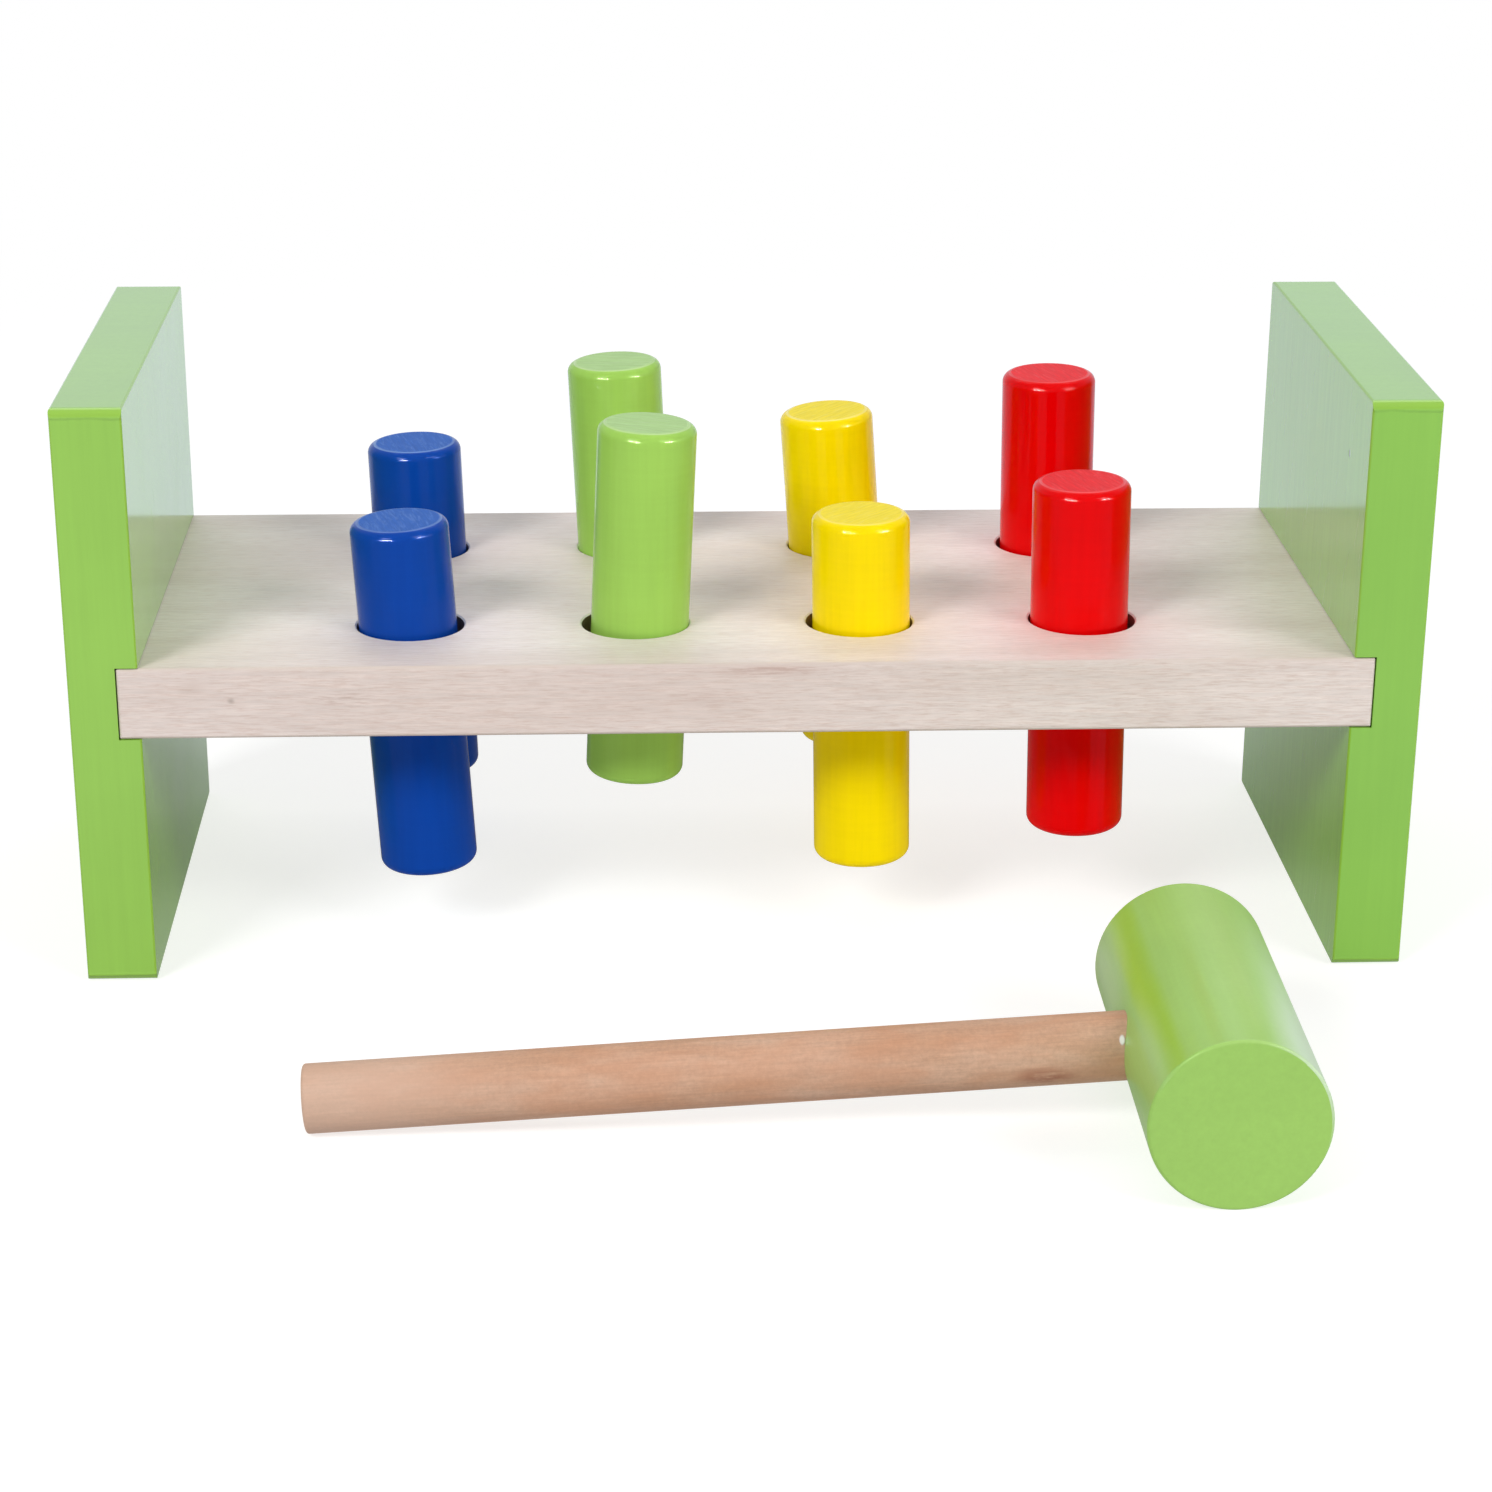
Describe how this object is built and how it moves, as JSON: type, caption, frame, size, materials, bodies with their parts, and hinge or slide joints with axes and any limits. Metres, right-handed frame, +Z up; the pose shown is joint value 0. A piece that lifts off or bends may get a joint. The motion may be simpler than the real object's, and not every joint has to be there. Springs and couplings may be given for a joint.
{
  "type": "peg pounding bench",
  "caption": "Wooden pounding bench: a beech board between two green end panels, with round coloured pegs gripped by rubber rings, and a loose mallet.",
  "frame": {"origin": "middle of the bench, on the surface that its two end panels stand on", "axes": "+X to the right along the bench, +Y from front to back, +Z up; the mallet lies in front, towards -Y"},
  "size_m": [0.27, 0.2168, 0.1195],
  "materials": {
    "green_paint": "gloss green paint on wood",
    "blue_paint": "gloss blue paint on wood",
    "yellow_paint": "gloss yellow paint on wood",
    "red_paint": "gloss red paint on wood",
    "pale_beech": "bare sanded beech, matt lacquer",
    "warm_beech": "bare turned beech, satin lacquer",
    "black_rubber": "matt black rubber",
    "zinc_steel": "zinc-plated steel"
  },
  "bodies": {
    "bench": {"left_end_panel": "green_paint", "right_end_panel": "green_paint", "bench_board": "pale_beech", "front_blue_ring": "black_rubber", "front_green_ring": "black_rubber", "front_yellow_ring": "black_rubber", "front_red_ring": "black_rubber", "back_blue_ring": "black_rubber", "back_green_ring": "black_rubber", "back_yellow_ring": "black_rubber", "back_red_ring": "black_rubber", "left_front_screw": "zinc_steel", "left_back_screw": "zinc_steel", "right_front_screw": "zinc_steel", "right_back_screw": "zinc_steel"},
    "front_blue_peg": {"front_blue_peg": "blue_paint"},
    "front_green_peg": {"front_green_peg": "green_paint"},
    "front_yellow_peg": {"front_yellow_peg": "yellow_paint"},
    "front_red_peg": {"front_red_peg": "red_paint"},
    "back_blue_peg": {"back_blue_peg": "blue_paint"},
    "back_green_peg": {"back_green_peg": "green_paint"},
    "back_yellow_peg": {"back_yellow_peg": "yellow_paint"},
    "back_red_peg": {"back_red_peg": "red_paint"},
    "mallet": {"mallet_head": "green_paint", "mallet_handle": "warm_beech"}
  },
  "joints": [
    {"name": "front_blue_peg_slide", "type": "slide", "parent": "bench", "child": "front_blue_peg", "axis": [-0.0568, 0, 0.9984], "range_m": [-0.01423, 0.02957]},
    {"name": "front_green_peg_slide", "type": "slide", "parent": "bench", "child": "front_green_peg", "axis": [0.0434, 0, 0.9991], "range_m": [-0.03403, 0.00977]},
    {"name": "front_yellow_peg_slide", "type": "slide", "parent": "bench", "child": "front_yellow_peg", "axis": [-0.0189, 0, 0.9998], "range_m": [-0.01496, 0.02884]},
    {"name": "front_red_peg_slide", "type": "slide", "parent": "bench", "child": "front_red_peg", "axis": [-0.016, 0, 0.9999], "range_m": [-0.0214, 0.0224]},
    {"name": "back_blue_peg_slide", "type": "slide", "parent": "bench", "child": "back_blue_peg", "axis": [-0.03, 0, 0.9995], "range_m": [-0.01586, 0.02794]},
    {"name": "back_green_peg_slide", "type": "slide", "parent": "bench", "child": "back_green_peg", "axis": [-0.0452, 0, 0.999], "range_m": [-0.03351, 0.01029]},
    {"name": "back_yellow_peg_slide", "type": "slide", "parent": "bench", "child": "back_yellow_peg", "axis": [-0.0748, 0, 0.9972], "range_m": [-0.02238, 0.02142]},
    {"name": "back_red_peg_slide", "type": "slide", "parent": "bench", "child": "back_red_peg", "axis": [-0.0156, 0, 0.9999], "range_m": [-0.0304, 0.0134]},
    {"name": "mallet_lift", "type": "slide", "parent": "bench", "child": "mallet", "axis": [0, 0, 1], "range_m": [0, 0.16]}
  ]
}
